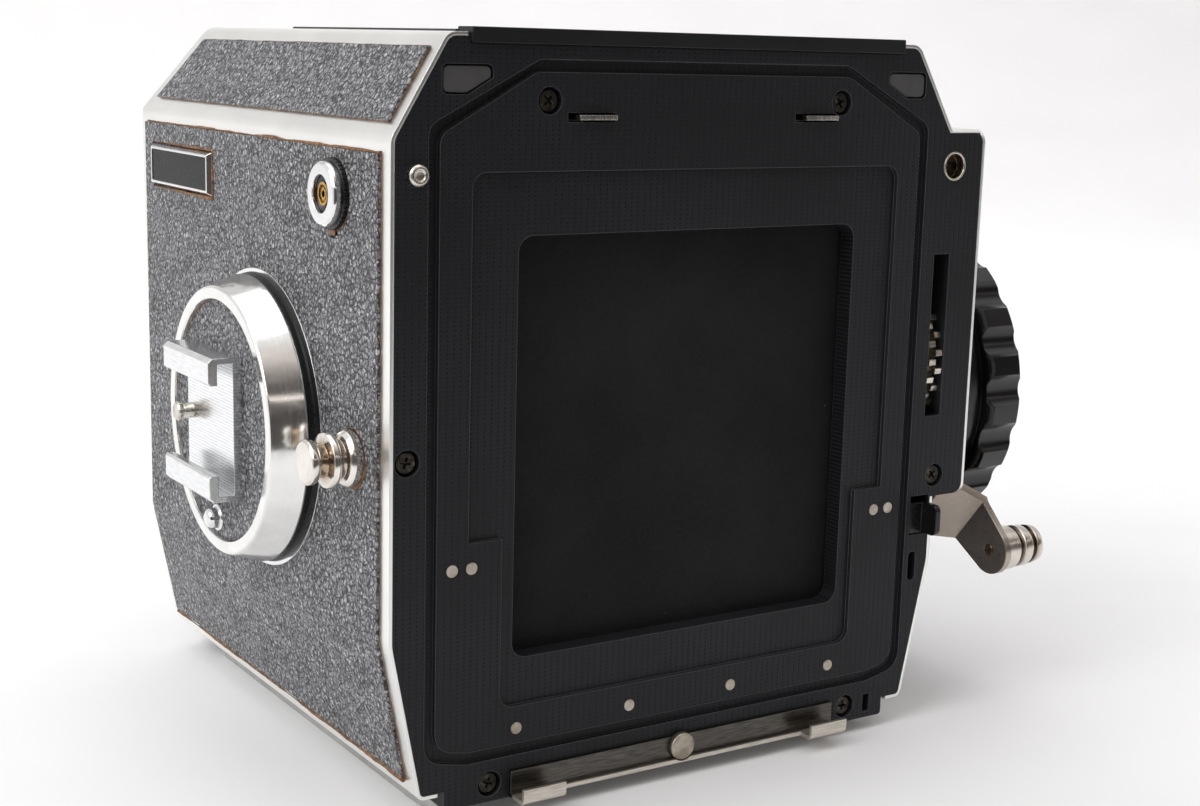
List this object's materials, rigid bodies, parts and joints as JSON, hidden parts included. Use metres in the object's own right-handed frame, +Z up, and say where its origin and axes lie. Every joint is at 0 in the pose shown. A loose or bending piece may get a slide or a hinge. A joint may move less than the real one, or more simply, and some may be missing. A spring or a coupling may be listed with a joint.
{
  "type": "medium format film camera body",
  "caption": "Boxy medium format reflex camera body with rear film gate, winding crank, side dial and accessory shoe.",
  "frame": {"origin": "mouth of the tripod socket, on the plane that the body stands on", "axes": "+X to the right seen from behind, +Y towards the lens, +Z up"},
  "size_m": [0.1273, 0.1082, 0.1049],
  "materials": {
    "shell_chrome": "satin chrome plate",
    "rim_chrome": "bright turned chrome",
    "rear_black": "satin black enamel",
    "rail_black": "black enamel",
    "bar_grey": "satin dark grey enamel",
    "inner_black": "dull black cast metal",
    "covering": "pebbled grey covering",
    "insert_grey": "dull grey",
    "screw_black": "blackened steel",
    "nickel": "worn nickel plate",
    "catch_black": "black enamel, worn",
    "bar_steel": "dark brushed steel",
    "base_steel": "satin metal",
    "cloth": "black rubberised cloth",
    "roller_steel": "ground steel",
    "gear_steel": "machined steel",
    "cap_satin": "spun satin metal",
    "shoe_satin": "satin steel, fine lines",
    "button_cap": "satin metal cap",
    "badge_black": "plain black enamel",
    "insulator": "dark hard plastic",
    "contact_gold": "gilt brass",
    "crank_steel": "dark plated steel",
    "grip_nickel": "ribbed nickel",
    "dial_black": "glossy black",
    "focus_black": "satin black, ribbed",
    "release_nickel": "polished steel",
    "screen_glass": "ground glass",
    "mirror_back": "black steel",
    "mirror_silver": "front-silvered glass",
    "battery_shell": "plain steel can",
    "holder_plastic": "black moulding"
  },
  "bodies": {
    "camera_body": {"left_shell": "shell_chrome", "right_shell": "shell_chrome", "front_plate": "shell_chrome", "gear_housing": "shell_chrome", "cap_rim": "rim_chrome", "badge_frame": "rim_chrome", "sync_collar": "rim_chrome", "mount_base": "rim_chrome", "rear_plate": "rear_black", "top_cover": "rail_black", "top_bar": "bar_grey", "chassis": "inner_black", "gear_bridge": "inner_black", "screen_frame": "inner_black", "left_covering": "covering", "right_covering": "covering", "slope_coverings": "covering", "front_covering": "covering", "corner_inserts": "insert_grey", "plate_screws": "screw_black", "gate_rivets": "nickel", "locating_ring": "nickel", "strap_studs": "nickel", "lower_bar_rivet": "nickel", "tripod_socket": "nickel", "cap_base_ring": "catch_black", "sync_base": "catch_black", "lower_bar": "bar_steel", "base_plate": "base_steel", "first_curtain": "cloth", "badge_field": "badge_black", "sync_insulator": "insulator", "sync_contact": "contact_gold", "sync_clip": "contact_gold", "focusing_screen": "screen_glass", "battery": "battery_shell", "battery_holder": "holder_plastic"},
    "cap": {"battery_cap": "cap_satin", "cap_covering": "covering", "accessory_shoe": "shoe_satin", "shoe_stop": "nickel", "button_collar": "rim_chrome"},
    "check_button": {"check_button": "button_cap"},
    "crank": {"crank_arm": "crank_steel", "grip_pin": "crank_steel", "wind_sleeve": "gear_steel"},
    "grip": {"crank_grip": "grip_nickel"},
    "film_gear": {"transport_gear": "gear_steel"},
    "dial": {"speed_dial": "dial_black"},
    "hook_blades": {"hook_slider": "nickel"},
    "pin": {"interlock_pin": "nickel"},
    "catch": {"back_catch": "catch_black"},
    "mirror": {"mirror_carrier": "mirror_back", "mirror_glass": "mirror_silver"},
    "high_roller": {"upper_roller": "roller_steel"},
    "low_roller": {"lower_roller": "roller_steel", "second_curtain": "cloth"},
    "focus": {"focus_ring": "focus_black"},
    "lens_carrier": {"lens_mount": "rim_chrome"},
    "release": {"shutter_release": "release_nickel"}
  },
  "joints": [
    {"name": "cap_turn", "type": "hinge", "parent": "camera_body", "child": "cap", "pos_m": [-0.05, -0.0039, 0.04905], "axis": [-1, 0, 0], "range_deg": [0, 60]},
    {"name": "check_press", "type": "slide", "parent": "cap", "child": "check_button", "axis": [1, 0, 0], "range_m": [0, 0.0009], "stiffness_N_per_m": 300, "springref_m": -0.001},
    {"name": "crank_turn", "type": "hinge", "parent": "camera_body", "child": "crank", "pos_m": [0.0532, -0.0145, 0.04905], "axis": [1, 0, 0], "continuous": true},
    {"name": "grip_spin", "type": "hinge", "parent": "crank", "child": "grip", "pos_m": [0.0652, -0.04448, 0.02554], "axis": [1, 0, 0], "continuous": true},
    {"name": "film_gear_turn", "type": "hinge", "parent": "camera_body", "child": "film_gear", "pos_m": [0.0456, -0.03189, 0.05701], "axis": [1, 0, 0], "continuous": true},
    {"name": "dial_turn", "type": "hinge", "parent": "camera_body", "child": "dial", "pos_m": [0.066, -0.0145, 0.04905], "axis": [1, 0, 0], "range_deg": [-150, 150]},
    {"name": "blade_slide", "type": "slide", "parent": "camera_body", "child": "hook_blades", "axis": [1, 0, 0], "range_m": [-0.0012, 0]},
    {"name": "pin_press", "type": "slide", "parent": "camera_body", "child": "pin", "axis": [0, 1, 0], "range_m": [0, 0.001], "stiffness_N_per_m": 300, "springref_m": -0.001},
    {"name": "catch_slide", "type": "slide", "parent": "camera_body", "child": "catch", "axis": [0, 0, 1], "range_m": [0, 0.001], "stiffness_N_per_m": 300, "springref_m": -0.001},
    {"name": "mirror_swing", "type": "hinge", "parent": "camera_body", "child": "mirror", "pos_m": [0, -0.033, 0.0836], "axis": [1, 0, 0], "range_deg": [0, 45]},
    {"name": "low_roller_turn", "type": "hinge", "parent": "camera_body", "child": "low_roller", "pos_m": [0, -0.03865, 0.0112], "axis": [1, 0, 0], "range_deg": [0, 1900]},
    {"name": "high_roller_turn", "type": "hinge", "parent": "camera_body", "child": "high_roller", "pos_m": [0, -0.03865, 0.0884], "axis": [1, 0, 0], "range_deg": [0, 1900]},
    {"name": "focus_turn", "type": "hinge", "parent": "camera_body", "child": "focus", "pos_m": [0, 0.0528, 0.05], "axis": [0, 1, 0], "range_deg": [0, 270]},
    {"name": "lens_travel", "type": "slide", "parent": "camera_body", "child": "lens_carrier", "axis": [0, 1, 0], "range_m": [0, 0.014]},
    {"name": "release_press", "type": "slide", "parent": "camera_body", "child": "release", "axis": [0, -1, 0], "range_m": [0, 0.0022], "stiffness_N_per_m": 300, "springref_m": -0.001}
  ],
  "couplings": [
    {"joint": "film_gear_turn", "follows": "crank_turn", "ratio": -0.55172},
    {"joint": "high_roller_turn", "follows": "low_roller_turn", "ratio": 1},
    {"joint": "lens_travel", "follows": "focus_turn", "m_per_rad": 0.0029709}
  ]
}
